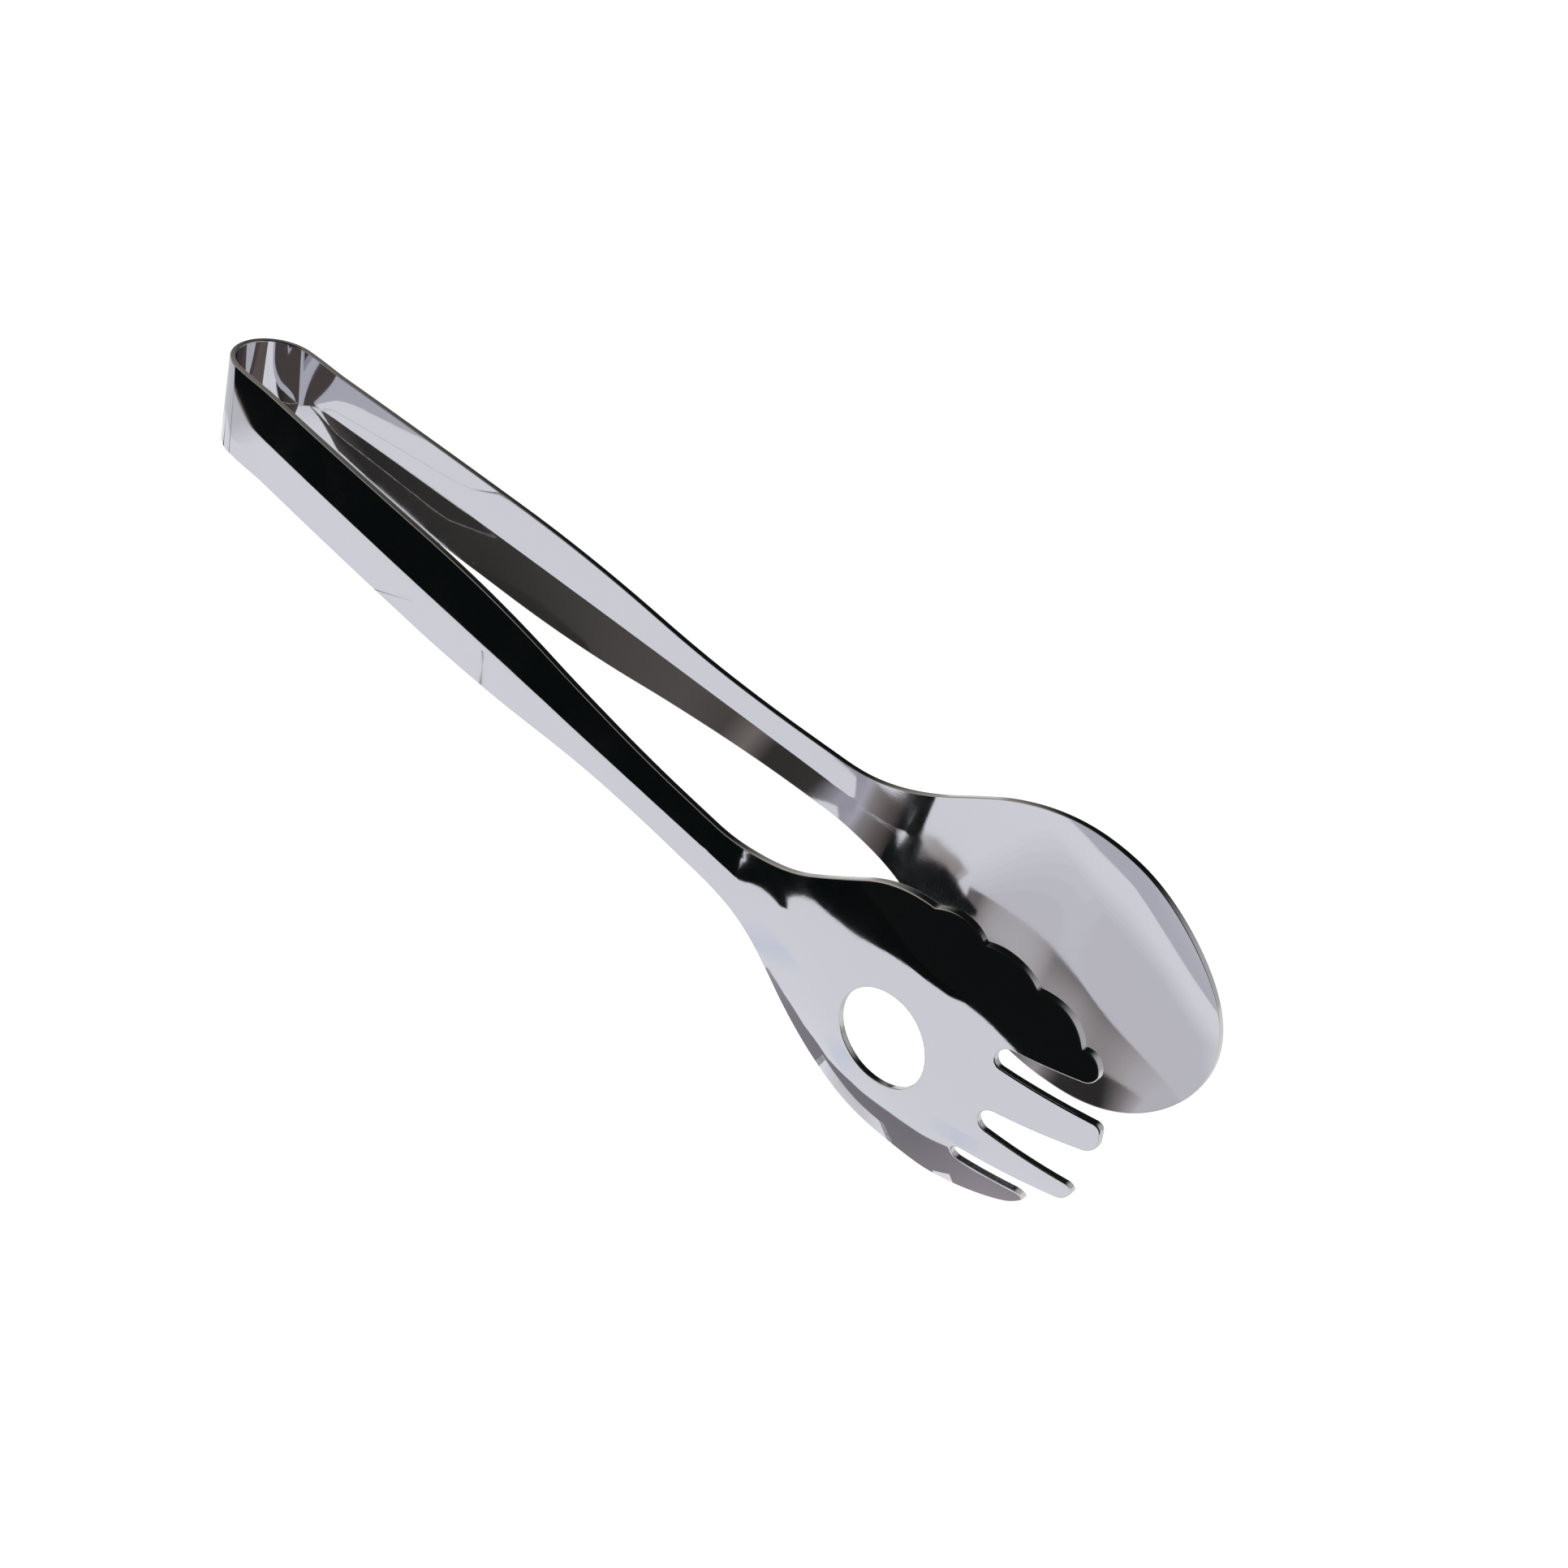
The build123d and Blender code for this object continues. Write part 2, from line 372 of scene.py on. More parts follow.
@dataclass(frozen=True)
class HeadFlare:
    """How both heads widen from the neck: a hollow arc, a straight flare and a cheek arc."""

    width: float
    cheek_arc: float
    neck_arc: float = 38.5
    angle: float = math.radians(35.4)

    def flare(self) -> np.ndarray:
        """Upper edge from the neck to the end of the straight flare."""
        hollow = bend((STRIP.head_start, STRIP.neck_width / 2), 0, self.neck_arc, self.angle)
        rise = ((self.width - STRIP.neck_width) / 2
                - (self.neck_arc + self.cheek_arc) * (1 - math.cos(self.angle)))
        run = rise / math.sin(self.angle)
        end = hollow[-1] + run * np.array([math.cos(self.angle), math.sin(self.angle)])
        return chain(hollow, straight(hollow[-1], end))

    def cheek(self) -> np.ndarray:
        """Upper edge from the neck to where the cheek runs along X."""
        flare = self.flare()
        return chain(flare, bend(flare[-1], self.angle, self.cheek_arc, -self.angle))


@dataclass(frozen=True)
class SpoonBlank(HeadFlare):
    """Bowl whose cheeks close to the tip by quarters of an ellipse."""

    width: float = 2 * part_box("spoon_bowl")[1].z / MM
    cheek_arc: float = 41.4

    def blank(self) -> Blank:
        """Outline of the bowl."""
        cheek = self.cheek()
        middle = cheek[-1, 0]
        turn = np.linspace(0, math.pi / 2, 61)[1:]
        tip = np.column_stack([middle + (STRIP.reach - middle) * np.sin(turn),
                               self.width / 2 * np.cos(turn)])
        upper = chain(cheek, tip)
        return Blank([chain(upper * (1, -1), upper[::-1])])


@dataclass(frozen=True)
class ForkBlank(HeadFlare):
    """Fork with a drain hole, four round-ended tines and scallops along its top edge."""

    width: float = 49.6
    cheek_arc: float = 30.0
    hole_x: float = 0.837 * STRIP.reach
    hole_radius: float = 8.8
    slot_root_x: tuple[float, float] = (0.9115 * STRIP.reach, 0.9205 * STRIP.reach)
    outer_slot: tuple[float, float] = (0.3915, 0.531)   # walls at the root, as shares of half the width
    outer_slot_taper: tuple[float, float] = (-0.048, 0.055)
    middle_slot_share: float = 0.0927
    middle_slot_taper: float = 0.13
    inner_corner: float = 1.9
    outer_corner: float = 1.7
    tine_reach: float = 0.997 * STRIP.reach
    overrun: float = 5.0                # how far the slots' lines run past the tip
    cusp_x: tuple[float, ...] = (0.825, 0.866, 0.911, 0.953)    # shares of the reach
    cusp_z: tuple[float, ...] = (0.963, 0.972, 0.911, 0.722)    # shares of half the width
    outer_tip: tuple[float, float] = (0.972, 0.55)              # shares of both
    scallop_bulge: float = 1.3
    lower_edge: tuple[float, float] = (0.97, 0.835)
    lower_edge_end: tuple[float, float] = (1, -1.1)

    def at(self, x_share: float, z_share: float) -> np.ndarray:
        """Plan point from shares of the reach and of half the fork's width."""
        return np.array([x_share * STRIP.reach, z_share * self.width / 2])

    def top_edge(self) -> np.ndarray:
        """Scalloped edge from the neck to the outer tine."""
        flare = self.flare()
        cusps = [self.at(*cusp) for cusp in zip(self.cusp_x, self.cusp_z)] + [self.at(*self.outer_tip)]
        lobes = [bulge_arc(start, end, self.scallop_bulge) for start, end in zip(cusps, cusps[1:])]
        return chain(flare, tangent_arc(flare[-1], self.angle, cusps[0]), *lobes)

    def bottom_edge(self) -> np.ndarray:
        """Smooth edge from the neck to the outer tine, drawn on the upper side."""
        cheek = self.cheek()
        knots = np.array([cheek[-1], self.at(self.cusp_x[2], self.lower_edge[0]),
                          self.at(self.cusp_x[3], self.lower_edge[1]), self.at(*self.outer_tip)])
        return chain(cheek, clamped_spline(knots, np.array([1, 0]), np.array(self.lower_edge_end), 0.6))

    def half(self, edge: np.ndarray) -> np.ndarray:
        """Upper half of the outline, from the neck round the tines to the middle slot's root.

        Args:
            edge: The long edge from the neck to the outer tine.

        Returns:
            Points of the half outline, which ends on the centre line.
        """
        low, high = (share * self.width / 2 for share in self.outer_slot)
        radius = (high - low) / 2
        root = np.array([self.slot_root_x[0] + radius, (low + high) / 2])
        end = STRIP.reach + self.overrun
        length = end - root[0]
        far_low, far_high = (np.array([end, z + taper * length])
                             for z, taper in zip((low, high), self.outer_slot_taper))
        near_low, near_high = root - (0, radius), root + (0, radius)
        edge = cut_by_line(edge, near_high, far_high - near_high)
        tine = rounded_join(edge, straight(edge[-1], near_high, 2), self.outer_corner)
        outer_root = bend(near_high, math.pi, radius, math.pi)

        half_slot = self.middle_slot_share * self.width / 2
        near = np.array([self.slot_root_x[1] + half_slot, half_slot])
        far = np.array([end, half_slot + self.middle_slot_taper * (end - near[0])])
        end_rim = self.at(0.985, 0) + (0, low + 1)
        sagitta = self.tine_reach - end_rim[0]
        end_arc = bulge_arc(end_rim, end_rim * (1, -1), sagitta)
        start_at = cut_by_line(end_arc, near_low, far_low - near_low)[-1]
        stop_at = cut_by_line(end_arc, near, far - near)[-1]
        inside = (end_arc[:, 1] < start_at[1]) & (end_arc[:, 1] > stop_at[1])
        end = chain(start_at[None], end_arc[inside], stop_at[None])
        inner = rounded_join(straight(near_low, start_at, 2), end, self.inner_corner)
        inner = rounded_join(inner, straight(stop_at, near, 2), self.inner_corner)
        middle_root = bend(near, math.pi, half_slot, math.pi / 2)
        return chain(tine, outer_root, inner, middle_root)

    def blank(self) -> Blank:
        """Outline of the fork with its drain hole."""
        lower, upper = self.half(self.bottom_edge()) * (1, -1), self.half(self.top_edge())
        hole = bend((self.hole_x, self.hole_radius), 0, self.hole_radius, -2 * math.pi)[:-1]
        return Blank([chain(lower, upper[::-1])], [hole])


# ---------------------------------------------------------------- meshes
@dataclass
class PressedSheet:
    """A blank pressed into a closed sheet with rounded rims and exact normals."""

    press: Press
    blank: Blank
    spacing: float = 1.1                # between the mesh's inner points, in millimetres
    edge_room: float = 0.42             # share of the spacing kept free beside the outline
    ridge_rows: tuple[float, ...] = (0, 0.18, 0.4, 0.75, 1.25, 1.9, 2.7)
    ridge_step: float = 1.3
    ridge_run_out: float = 4.0          # how far the rows go on after the crease has died out
    corner: float = 1 - math.sqrt(0.5)  # how far the middle of a rounding is from its faces

    @staticmethod
    def outwards(path: np.ndarray, closed: bool) -> np.ndarray:
        """Plan normals that point off the material, to the right of the path."""
        run = np.diff(np.vstack([path, path[:1]]) if closed else path, axis=0)
        run /= np.hypot(*run.T)[:, None]
        before = np.vstack([run[-1:] if closed else run[:1], run if not closed else run[:-1]])
        after = run if closed else np.vstack([run, run[-1:]])
        mean = before + after
        mean /= np.hypot(*mean.T)[:, None]
        if not closed:
            mean[0], mean[-1] = np.round(mean[0]), np.round(mean[-1])
        return np.column_stack([mean[:, 1], -mean[:, 0]])

    def fill(self, loops: list[np.ndarray]) -> np.ndarray:
        """Points inside the outline: rows along the ridge, and a staggered grid beside them."""
        points = np.vstack(loops)
        (x0, z0), (x1, z1) = points.min(0), points.max(0)
        band = self.ridge_rows[-1]
        ridge_end = self.press.crease_end[1] + self.ridge_run_out
        rows = sorted({sign * row for row in self.ridge_rows for sign in (-1, 1)})
        places = np.arange(x0, min(x1, ridge_end) + self.ridge_step, self.ridge_step)
        ridge = np.array([(x, z) for x in places for z in rows])
        rise = self.spacing * math.sqrt(3) / 2
        grid = []
        for i, z in enumerate(np.arange(z0, z1, rise)):
            line = np.arange(x0 + self.spacing / 2 * (i % 2), x1, self.spacing)
            grid.append(np.column_stack([line, np.full_like(line, z)]))
        grid = np.vstack(grid)
        gap = 0.5 * self.spacing
        beside = (np.abs(grid[:, 1]) > band + gap) | (grid[:, 0] > places[-1] + gap)
        inner = np.vstack([ridge, grid[beside]])
        return inner[inside(inner, loops) & (clearance(inner, loops) > self.edge_room * self.spacing)]

    def layout(self, rings: list[Runs]) -> tuple[Runs, Runs, Runs]:
        """Numbers the outline's points: each rim with the joint after it, then the holes.

        Args:
            rings: Rings of every rim and hole, the outer face's ring first.

        Returns:
            Runs of plan points, the numbers of each ring's points and those of each joint's.
        """
        plan, spans, joints, count = [], [], [], 0
        rims = len(self.blank.rims)
        for i, ring in enumerate(rings):
            spans.append(np.arange(count, count + len(ring[0])))
            plan.append(ring[0])
            count += len(ring[0])
            if i < rims:
                joint = straight(ring[0][-1], rings[(i + 1) % rims][0][0], self.spacing)[1:-1]
                joints.append(np.arange(count, count + len(joint)))
                plan.append(joint)
                count += len(joint)
        return plan, spans, joints

    def edge_row(self, ring: np.ndarray, plan_normals: np.ndarray,
                 row: int) -> tuple[np.ndarray, np.ndarray]:
        """One row of points round a cut edge.

        Args:
            ring: Plan points of the row.
            plan_normals: Normals of the edge in plan.
            row: 1 to 4, from the outer face to the inner one.

        Returns:
            Places and unit normals.
        """
        x, z = ring.T
        drop = STRIP.rim * (self.corner if row in (1, 4) else 1)
        height = self.press.outer(x, z) - drop if row < 3 else self.press.inner(x, z) + drop
        normals = np.column_stack([plan_normals[:, 0], np.zeros(len(ring)), plan_normals[:, 1]])
        if row == 1:
            normals = normals + self.press.normals(self.press.outer, x, z, 1)
        if row == 4:
            normals = normals + self.press.normals(self.press.inner, x, z, -1)
        return np.column_stack([x, height, z]), normals / np.linalg.norm(normals, axis=1)[:, None]

    def build(self, name: str, finishes: Finishes) -> bpy.types.Object:
        """Makes the piece.

        Args:
            name: Name of the new object.
            finishes: Materials of its faces and of its cut edges.

        Returns:
            The object, with its place in its mesh.
        """
        press = self.press
        paths = [(path, False) for path in self.blank.rims] + [(path, True) for path in self.blank.holes]
        plan_normals = [self.outwards(path, closed) for path, closed in paths]
        insets = [share * STRIP.rim for share in (1, self.corner, 0, 0, self.corner, 1)]
        rings = [[path - inset * n for inset in insets] for (path, _), n in zip(paths, plan_normals)]
        plan, spans, joints = self.layout(rings)
        rims = len(joints)
        loops = [np.vstack(plan[: 2 * rims])] + [ring[0] for ring in rings[rims:]]
        flat = np.vstack(plan + [self.fill(loops)])
        under = len(flat)                   # what a point's number gains from outer to inner face

        # the two faces
        x, z = flat.T
        places = [np.column_stack([x, face(x, z), z]) for face in (press.outer, press.inner)]
        normals = [press.normals(press.outer, x, z, 1), press.normals(press.inner, x, z, -1)]
        triangles = triangulate(flat, loops)
        faces = [tuple(t) for t in triangles] + [tuple(t[::-1] + under) for t in triangles]
        slots = [Slot.FACE.value] * len(faces)

        # the rounded cut edges
        count, numbers = 2 * under, []
        for (path, closed), ring, edge_normals, span in zip(paths, rings, plan_normals, spans):
            size, rows = len(path), [span]
            for row in range(1, 5):
                place, normal = self.edge_row(ring[row], edge_normals, row)
                places.append(place)
                normals.append(normal)
                rows.append(np.arange(count, count + size))
                count += size
            rows.append(span + under)
            numbers.append(rows)
            for upper, lower in zip(rows, rows[1:]):
                for j in range(size if closed else size - 1):
                    k = (j + 1) % size
                    faces.append((upper[j], lower[j], lower[k], upper[k]))
        smooth = len(faces)

        # the flat hidden joints
        for i, joint in enumerate(joints):
            begin, finish = numbers[i], numbers[(i + 1) % rims]
            line = [spans[i][-1], *joint, spans[(i + 1) % rims][0]]
            faces += [(a, a + under, b + under, b) for a, b in zip(line, line[1:])]
            faces.append(tuple(row[-1] for row in begin[1:]) + (begin[0][-1],))
            faces.append((finish[0][0],) + tuple(row[0] for row in finish[:0:-1]))
        slots += [Slot.EDGE.value] * (len(faces) - len(slots))

        if press.side is Side.SPOON:
            faces = [face[::-1] for face in faces]
        rows = np.vstack(places) * (MM, press.side.value * MM, MM)
        mesh = bpy.data.meshes.new(name)
        mesh.from_pydata(rows.tolist(), [], [[int(v) for v in face] for face in faces])
        mesh.polygons.foreach_set("material_index", slots)
        give_normals(mesh, np.vstack(normals), lambda polygon: polygon.index >= smooth)
        return placed(name, mesh, finishes)


def give_normals(mesh: bpy.types.Mesh, normals: np.ndarray, is_flat: Callable[[Any], bool]) -> None:
    """Shades a mesh smooth.

    Args:
        mesh: The mesh.
        normals: Exact normal of each vertex.
        is_flat: Tells the faces that keep their own normal.
    """
    mesh.polygons.foreach_set("use_smooth", [True] * len(mesh.polygons))
    corners = []
    for polygon in mesh.polygons:
        own = polygon.normal[:] if is_flat(polygon) else None
        corners += [own or tuple(normals[v]) for v in polygon.vertices]
    mesh.normals_split_custom_set(corners)


def inside(points: np.ndarray, loops: list[np.ndarray]) -> np.ndarray:
    """Which points lie inside an outline and outside its holes."""
    result = np.zeros(len(points), bool)
    for loop in loops:
        for start, end in zip(loop, np.roll(loop, -1, axis=0)):
            if start[1] == end[1]:
                continue
            spans = (start[1] > points[:, 1]) != (end[1] > points[:, 1])
            crossing = start[0] + (points[:, 1] - start[1]) * (end[0] - start[0]) / (end[1] - start[1])
            result ^= spans & (points[:, 0] < crossing)
    return result


def clearance(points: np.ndarray, loops: list[np.ndarray]) -> np.ndarray:
    """Distance of each point from the nearest edge of the loops."""
    nearest = np.full(len(points), np.inf)
    for loop in loops:
        for start, end in zip(loop, np.roll(loop, -1, axis=0)):
            run = end - start
            share = np.clip((points - start) @ run / max(run @ run, 1e-12), 0, 1)
            nearest = np.minimum(nearest, np.hypot(*(points - start - share[:, None] * run).T))
    return nearest


def triangulate(points: np.ndarray, loops: list[np.ndarray]) -> list[np.ndarray]:
    """Triangles over plan points, counter-clockwise, inside the loops.

    Args:
        points: All plan points, those of the loops first and in order.
        loops: The outline and the holes.

    Returns:
        Three point numbers for each triangle.
    """
    edges, count = [], 0
    for loop in loops:
        numbers = list(range(count, count + len(loop)))
        edges += list(zip(numbers, numbers[1:] + numbers[:1]))
        count += len(loop)
    made = delaunay_2d_cdt([Vector(p) for p in points], edges, [], 0, 1e-5)
    triangles = np.array([[made[3][v][0] for v in face] for face in made[2]])
    corners = points[triangles]
    keep = inside(corners.mean(1), loops)
    first, second = corners[:, 1] - corners[:, 0], corners[:, 2] - corners[:, 0]
    area = first[:, 0] * second[:, 1] - first[:, 1] * second[:, 0]
    triangles[area < 0] = triangles[area < 0][:, ::-1]
    return list(triangles[keep & (np.abs(area) > 1e-9)])


def placed(name: str, mesh: bpy.types.Mesh, finishes: Finishes) -> bpy.types.Object:
    """Puts a mesh into the scene with its finishes and reports it."""
    mesh.name = name
    if not mesh.materials:
        for finish in finishes:
            mesh.materials.append(finish)
    piece = bpy.data.objects.new(name, mesh)
    bpy.context.scene.collection.objects.link(piece)
    log.info("%s: %d vertices, %d faces", name, len(mesh.vertices), len(mesh.polygons))
    return piece


# ---------------------------------------------------------------- nodes
def add_node(tree: bpy.types.NodeTree, kind: str, settings: dict[str, Any] | None = None,
             **inputs: Any) -> bpy.types.Node:
    """Adds a node with its settings, values and links.

    Args:
        tree: Shader or geometry tree.
        kind: Node type.
        settings: Attributes of the node.
        **inputs: Value or output socket for each input, by its name with _ for a space, or by its
            number after an i, such as i0.

    Returns:
        The new node.
    """
    node = tree.nodes.new(kind)
    for key, value in (settings or {}).items():
        setattr(node, key, value)
    for key, value in inputs.items():
        numbered = key[0] == "i" and key[1:].isdigit()
        socket = node.inputs[int(key[1:])] if numbered else node.inputs[key.replace("_", " ")]
        if isinstance(value, bpy.types.NodeSocket):
            tree.links.new(value, socket)
        else:
            socket.default_value = value
    return node


def maths(tree: bpy.types.NodeTree, operation: str, *values: Any) -> bpy.types.NodeSocket:
    """Result of a maths node on the given values or sockets."""
    inputs = {f"i{index}": value for index, value in enumerate(values)}
    return add_node(tree, "ShaderNodeMath", {"operation": operation}, **inputs).outputs[0]


def linear(hex_colour: str) -> tuple[float, float, float, float]:
    """Linear RGBA of an sRGB hex colour."""
    shares = [int(hex_colour[i : i + 2], 16) / 255 for i in (1, 3, 5)]
    return tuple(s / 12.92 if s <= 0.04045 else ((s + 0.055) / 1.055) ** 2.4 for s in shares) + (1.0,)


# ---------------------------------------------------------------- finishes
@dataclass(frozen=True)
class Steel:
    """What the finishes of one steel share."""

    name: str
    colour: str

    def start(self) -> tuple[bpy.types.Material, bpy.types.Node, bpy.types.NodeSocket]:
        """New metal material, with its shader and the object's coordinates."""
        material = bpy.data.materials.new(self.name)
        material.use_nodes = True
        shader = material.node_tree.nodes["Principled BSDF"]
        shader.inputs["Base Color"].default_value = linear(self.colour)
        shader.inputs["Metallic"].default_value = 1.0
        return material, shader, add_node(material.node_tree, "ShaderNodeTexCoord").outputs["Object"]


@dataclass(frozen=True)
class RolledSteel(Steel):
    """Stainless steel sheet, belt-ground along its length and then buffed.

    Buffing leaves a mirror with faint lines along the strip, which draw reflections out a little, a
    slow waviness from rolling and pressing, which bends their edges, and cloudy spots where the wheel
    pressed less.
    """

    name: str = "stainless_steel_buffed"
    colour: str = "#cccbd2"
    roughness: float = 0.03
    cloud_roughness: float = 0.05       # added in the cloudy spots
    cloud_size: float = 14.0            # millimetres
    cloud_range: tuple[float, float] = (0.45, 0.75)     # noise values where a cloud begins and is full
    line_pitch: float = 0.22            # millimetres between grinding lines
    line_length: float = 22.0
    line_depth: float = 0.0009
    wave_length: float = 26.0           # millimetres between rolling waves
    wave_depth: float = 0.014

    def material(self) -> bpy.types.Material:
        """Builds the material."""
        material, shader, place = self.start()
        tree = material.node_tree
        along, across = 1 / (self.line_length * MM), 1 / (self.line_pitch * MM)
        stretched = add_node(tree, "ShaderNodeMapping", Vector=place, Scale=(along, across, across))
        lines = add_node(tree, "ShaderNodeTexNoise", Vector=stretched.outputs["Vector"],
                         Scale=1.0, Detail=3.0, Roughness=0.6)
        clouds = add_node(tree, "ShaderNodeTexNoise", Vector=place,
                          Scale=1 / (self.cloud_size * MM), Detail=4.0)
        waves = add_node(tree, "ShaderNodeTexNoise", Vector=place,
                         Scale=1 / (self.wave_length * MM), Detail=0.0)
        rough = add_node(tree, "ShaderNodeMapRange", Value=clouds.outputs["Fac"],
                         From_Min=self.cloud_range[0], From_Max=self.cloud_range[1],
                         To_Min=self.roughness, To_Max=self.roughness + self.cloud_roughness)
        tree.links.new(rough.outputs["Result"], shader.inputs["Roughness"])
        wavy = add_node(tree, "ShaderNodeBump", Strength=1.0, Distance=self.wave_depth * MM,
                        Height=waves.outputs["Fac"])
        fine = add_node(tree, "ShaderNodeBump", Strength=1.0, Distance=self.line_depth * MM,
                        Height=lines.outputs["Fac"], Normal=wavy.outputs["Normal"])
        tree.links.new(fine.outputs["Normal"], shader.inputs["Normal"])
        return material


@dataclass(frozen=True)
class BlankedEdge(Steel):
    """Cut edge of stainless sheet, tumbled smooth.

    The punch leaves it duller and a little warmer than the buffed faces, with fine marks across it,
    so that it shows as a soft line round every piece.
    """

    name: str = "stainless_steel_cut_edge"
    colour: str = "#c9c7c4"
    roughness: float = 0.16
    roughness_spread: tuple[float, float] = (-0.04, 0.08)
    mark_pitch: float = 0.5             # millimetres
    mark_depth: float = 0.003

    def material(self) -> bpy.types.Material:
        """Builds the material."""
        material, shader, place = self.start()
        tree = material.node_tree
        marks = add_node(tree, "ShaderNodeTexNoise", Vector=place,
                         Scale=1 / (self.mark_pitch * MM), Detail=2.0)
        rough = add_node(tree, "ShaderNodeMapRange", Value=marks.outputs["Fac"],
                         To_Min=self.roughness + self.roughness_spread[0],
                         To_Max=self.roughness + self.roughness_spread[1])
        tree.links.new(rough.outputs["Result"], shader.inputs["Roughness"])
        bump = add_node(tree, "ShaderNodeBump", Strength=1.0, Distance=self.mark_depth * MM,
                        Height=marks.outputs["Fac"])
        tree.links.new(bump.outputs["Normal"], shader.inputs["Normal"])
        return material


# ---------------------------------------------------------------- sub-assemblies
@dataclass
class SpringBow:
    """The strip's bend, a band swept round an arc, in two halves, one on each arm's side."""

    steps: int = 60
    rim_steps: int = 2
    section_cuts: int = 7
    edge_depth: float = 0.2             # how far the edge finish reaches in from the long edges
    turn_to_arm: float = 0.5            # cosine of the turn where the normals start to become the arm's
    lean_passes: int = 12

    def tree(self, finishes: Finishes) -> bpy.types.NodeTree:
        """Geometry Nodes tree that sweeps the strip's section round the bow.

        Args:
            finishes: Materials of the faces and of the cut edges.

        Returns:
            The tree, with named inputs for the bow's sizes.
        """
        tree = bpy.data.node_groups.new("bow_sweep", "GeometryNodeTree")
        for name in ("Radius", "Lean", "Sheet", "Width", "Rim", "Start", "Sweep"):
            tree.interface.new_socket(name, in_out="INPUT", socket_type="NodeSocketFloat")
        tree.interface.new_socket("Steps", in_out="INPUT", socket_type="NodeSocketInt")
        tree.interface.new_socket("Geometry", in_out="OUTPUT", socket_type="NodeSocketGeometry")
        sizes = tree.nodes.new("NodeGroupInput").outputs
        path = add_node(tree, "GeometryNodeCurveArc", Resolution=sizes["Steps"], Radius=sizes["Radius"],
                        Start_Angle=sizes["Start"], Sweep_Angle=sizes["Sweep"])
        section = add_node(tree, "GeometryNodeCurvePrimitiveQuadrilateral", Width=sizes["Sheet"],
                           Height=sizes["Width"])
        rounded = add_node(tree, "GeometryNodeFilletCurve", {"mode": "POLY"}, Curve=section.outputs["Curve"],
                           Count=self.rim_steps, Radius=sizes["Rim"])
        divided = add_node(tree, "GeometryNodeSubdivideCurve", Curve=rounded.outputs["Curve"],
                           Cuts=self.section_cuts)
        band = add_node(tree, "GeometryNodeCurveToMesh", Curve=path.outputs["Curve"],
                        Profile_Curve=divided.outputs["Curve"], Fill_Caps=True)

        # the lower edge leans back: x grows by Lean, shared out from the top edge to the bottom one
        position = tree.nodes.new("GeometryNodeInputPosition").outputs[0]
        at = add_node(tree, "ShaderNodeSeparateXYZ", Vector=position)
        x, y, z = at.outputs
        flat = add_node(tree, "ShaderNodeCombineXYZ", X=x, Y=y)
        out = add_node(tree, "ShaderNodeVectorMath", {"operation": "NORMALIZE"}, i0=flat.outputs[0])
        share = maths(tree, "SUBTRACT", 0.5, maths(tree, "DIVIDE", z, sizes["Width"]))
        lean = maths(tree, "MULTIPLY", share, sizes["Lean"])
        out_x = add_node(tree, "ShaderNodeSeparateXYZ", Vector=out.outputs[0]).outputs[0]
        offset = add_node(tree, "ShaderNodeCombineXYZ", X=maths(tree, "MULTIPLY", out_x, lean))
        leaned = add_node(tree, "GeometryNodeSetPosition", Geometry=band.outputs["Mesh"],
                          Offset=offset.outputs[0])

        real = add_node(tree, "GeometryNodeRealizeInstances", Geometry=leaned.outputs["Geometry"])
        faced = add_node(tree, "GeometryNodeSetMaterial", Geometry=real.outputs["Geometry"],
                         Material=finishes[Slot.FACE.value])
        on_rim = add_node(tree, "FunctionNodeCompare", {"data_type": "FLOAT", "operation": "GREATER_THAN"},
                          i0=maths(tree, "ABSOLUTE", z),
                          i1=maths(tree, "MULTIPLY_ADD", sizes["Width"], 0.5, -self.edge_depth * MM))
        edged = add_node(tree, "GeometryNodeSetMaterial", Geometry=faced.outputs["Geometry"],
                         Selection=on_rim.outputs[0], Material=finishes[Slot.EDGE.value])
        add_node(tree, "NodeGroupOutput", Geometry=edged.outputs["Geometry"])
        return tree

    def half(self, side: Side, tree: bpy.types.NodeTree, finishes: Finishes) -> bpy.types.Object:
        """Makes one half of the bow.

        Args:
            side: Side of the half.
            tree: The sweep.
            finishes: Materials of the faces and of the cut edges.

        Returns:
            The half as a plain mesh object.
        """
        name = f"bow_{side.name.lower()}_half"
        turn = math.pi / 2 - math.atan(STRIP.arm_slope)
        values = {"Radius": (STRIP.bow_radius - STRIP.sheet / 2) * MM, "Lean": STRIP.bow_lean * MM,
                  "Sheet": STRIP.sheet * MM, "Width": STRIP.width * MM, "Rim": STRIP.rim * MM,
                  "Start": math.pi, "Sweep": -side.value * turn, "Steps": self.steps}
        holder = bpy.data.objects.new(name + "_sweep", bpy.data.meshes.new(name + "_sweep"))
        bpy.context.scene.collection.objects.link(holder)
        modifier = holder.modifiers.new("sweep", "NODES")
        modifier.node_group = tree
        for item in tree.interface.items_tree:
            if item.in_out == "INPUT":
                modifier[item.identifier] = values[item.name]
        evaluated = holder.evaluated_get(bpy.context.evaluated_depsgraph_get())
        mesh = bpy.data.meshes.new_from_object(evaluated)
        bpy.data.objects.remove(holder)
        piece = placed(name, mesh, finishes)
        self.smooth(piece.data)
        return piece

